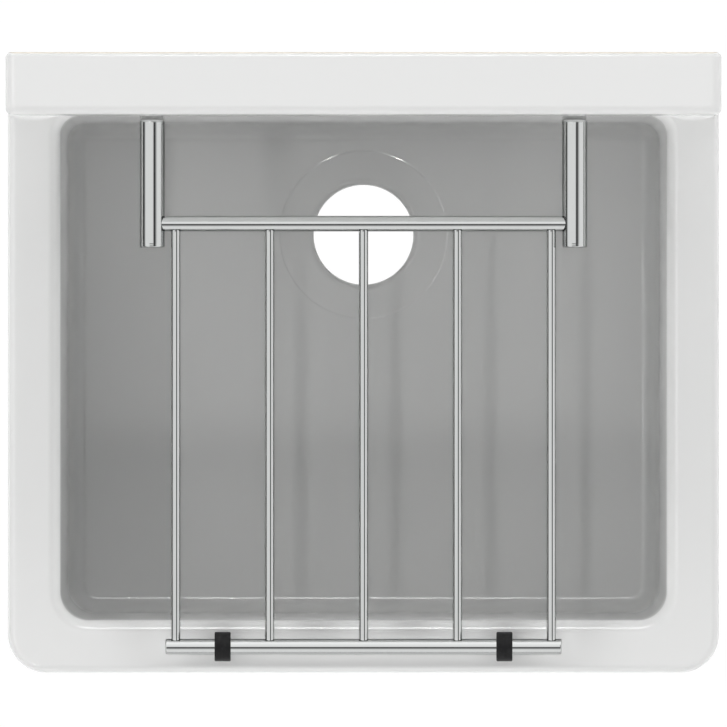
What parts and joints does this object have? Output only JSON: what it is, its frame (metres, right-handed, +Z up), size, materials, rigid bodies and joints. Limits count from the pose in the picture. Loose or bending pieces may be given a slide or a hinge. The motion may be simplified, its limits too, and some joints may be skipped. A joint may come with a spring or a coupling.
{
  "type": "mop sink",
  "caption": "Wall-hung mop sink: deep rectangular glazed bowl with a back panel, a drain hole near the wall, and a chromed bucket grate that folds up.",
  "frame": {"origin": "on the wall plane, midway between the two wall bolt holes", "axes": "+X to the right as seen from the front, +Y towards the wall, +Z up"},
  "size_m": [0.46, 0.3999, 0.375],
  "materials": {
    "glaze": "white gloss glaze",
    "chrome": "polished chrome",
    "rubber": "matt black rubber",
    "nylon": "natural nylon",
    "brass": "turned brass",
    "steel": "zinc-plated steel"
  },
  "bodies": {
    "sink": {"basin": "glaze", "left_arm": "chrome", "left_arm_cap": "chrome", "left_bearing": "nylon", "left_arm_insert": "brass", "left_stud": "steel", "left_arm_seal": "rubber", "right_arm": "chrome", "right_arm_cap": "chrome", "right_bearing": "nylon", "right_arm_insert": "brass", "right_stud": "steel", "right_arm_seal": "rubber", "back_seals": "rubber", "stud_washers": "steel", "stud_nuts": "steel"},
    "grate": {"pivot_tube": "chrome", "front_tube": "chrome", "bar_1": "chrome", "bar_2": "chrome", "bar_3": "chrome", "bar_4": "chrome", "bar_5": "chrome", "left_pivot_pin": "steel", "left_tube_plug": "chrome", "left_buffer": "rubber", "right_pivot_pin": "steel", "right_tube_plug": "chrome", "right_buffer": "rubber"}
  },
  "joints": [
    {"name": "grate_fold", "type": "hinge", "parent": "sink", "child": "grate", "pos_m": [0, -0.1096, -0.0653], "axis": [-1, 0, 0], "range_deg": [0, 111]}
  ]
}
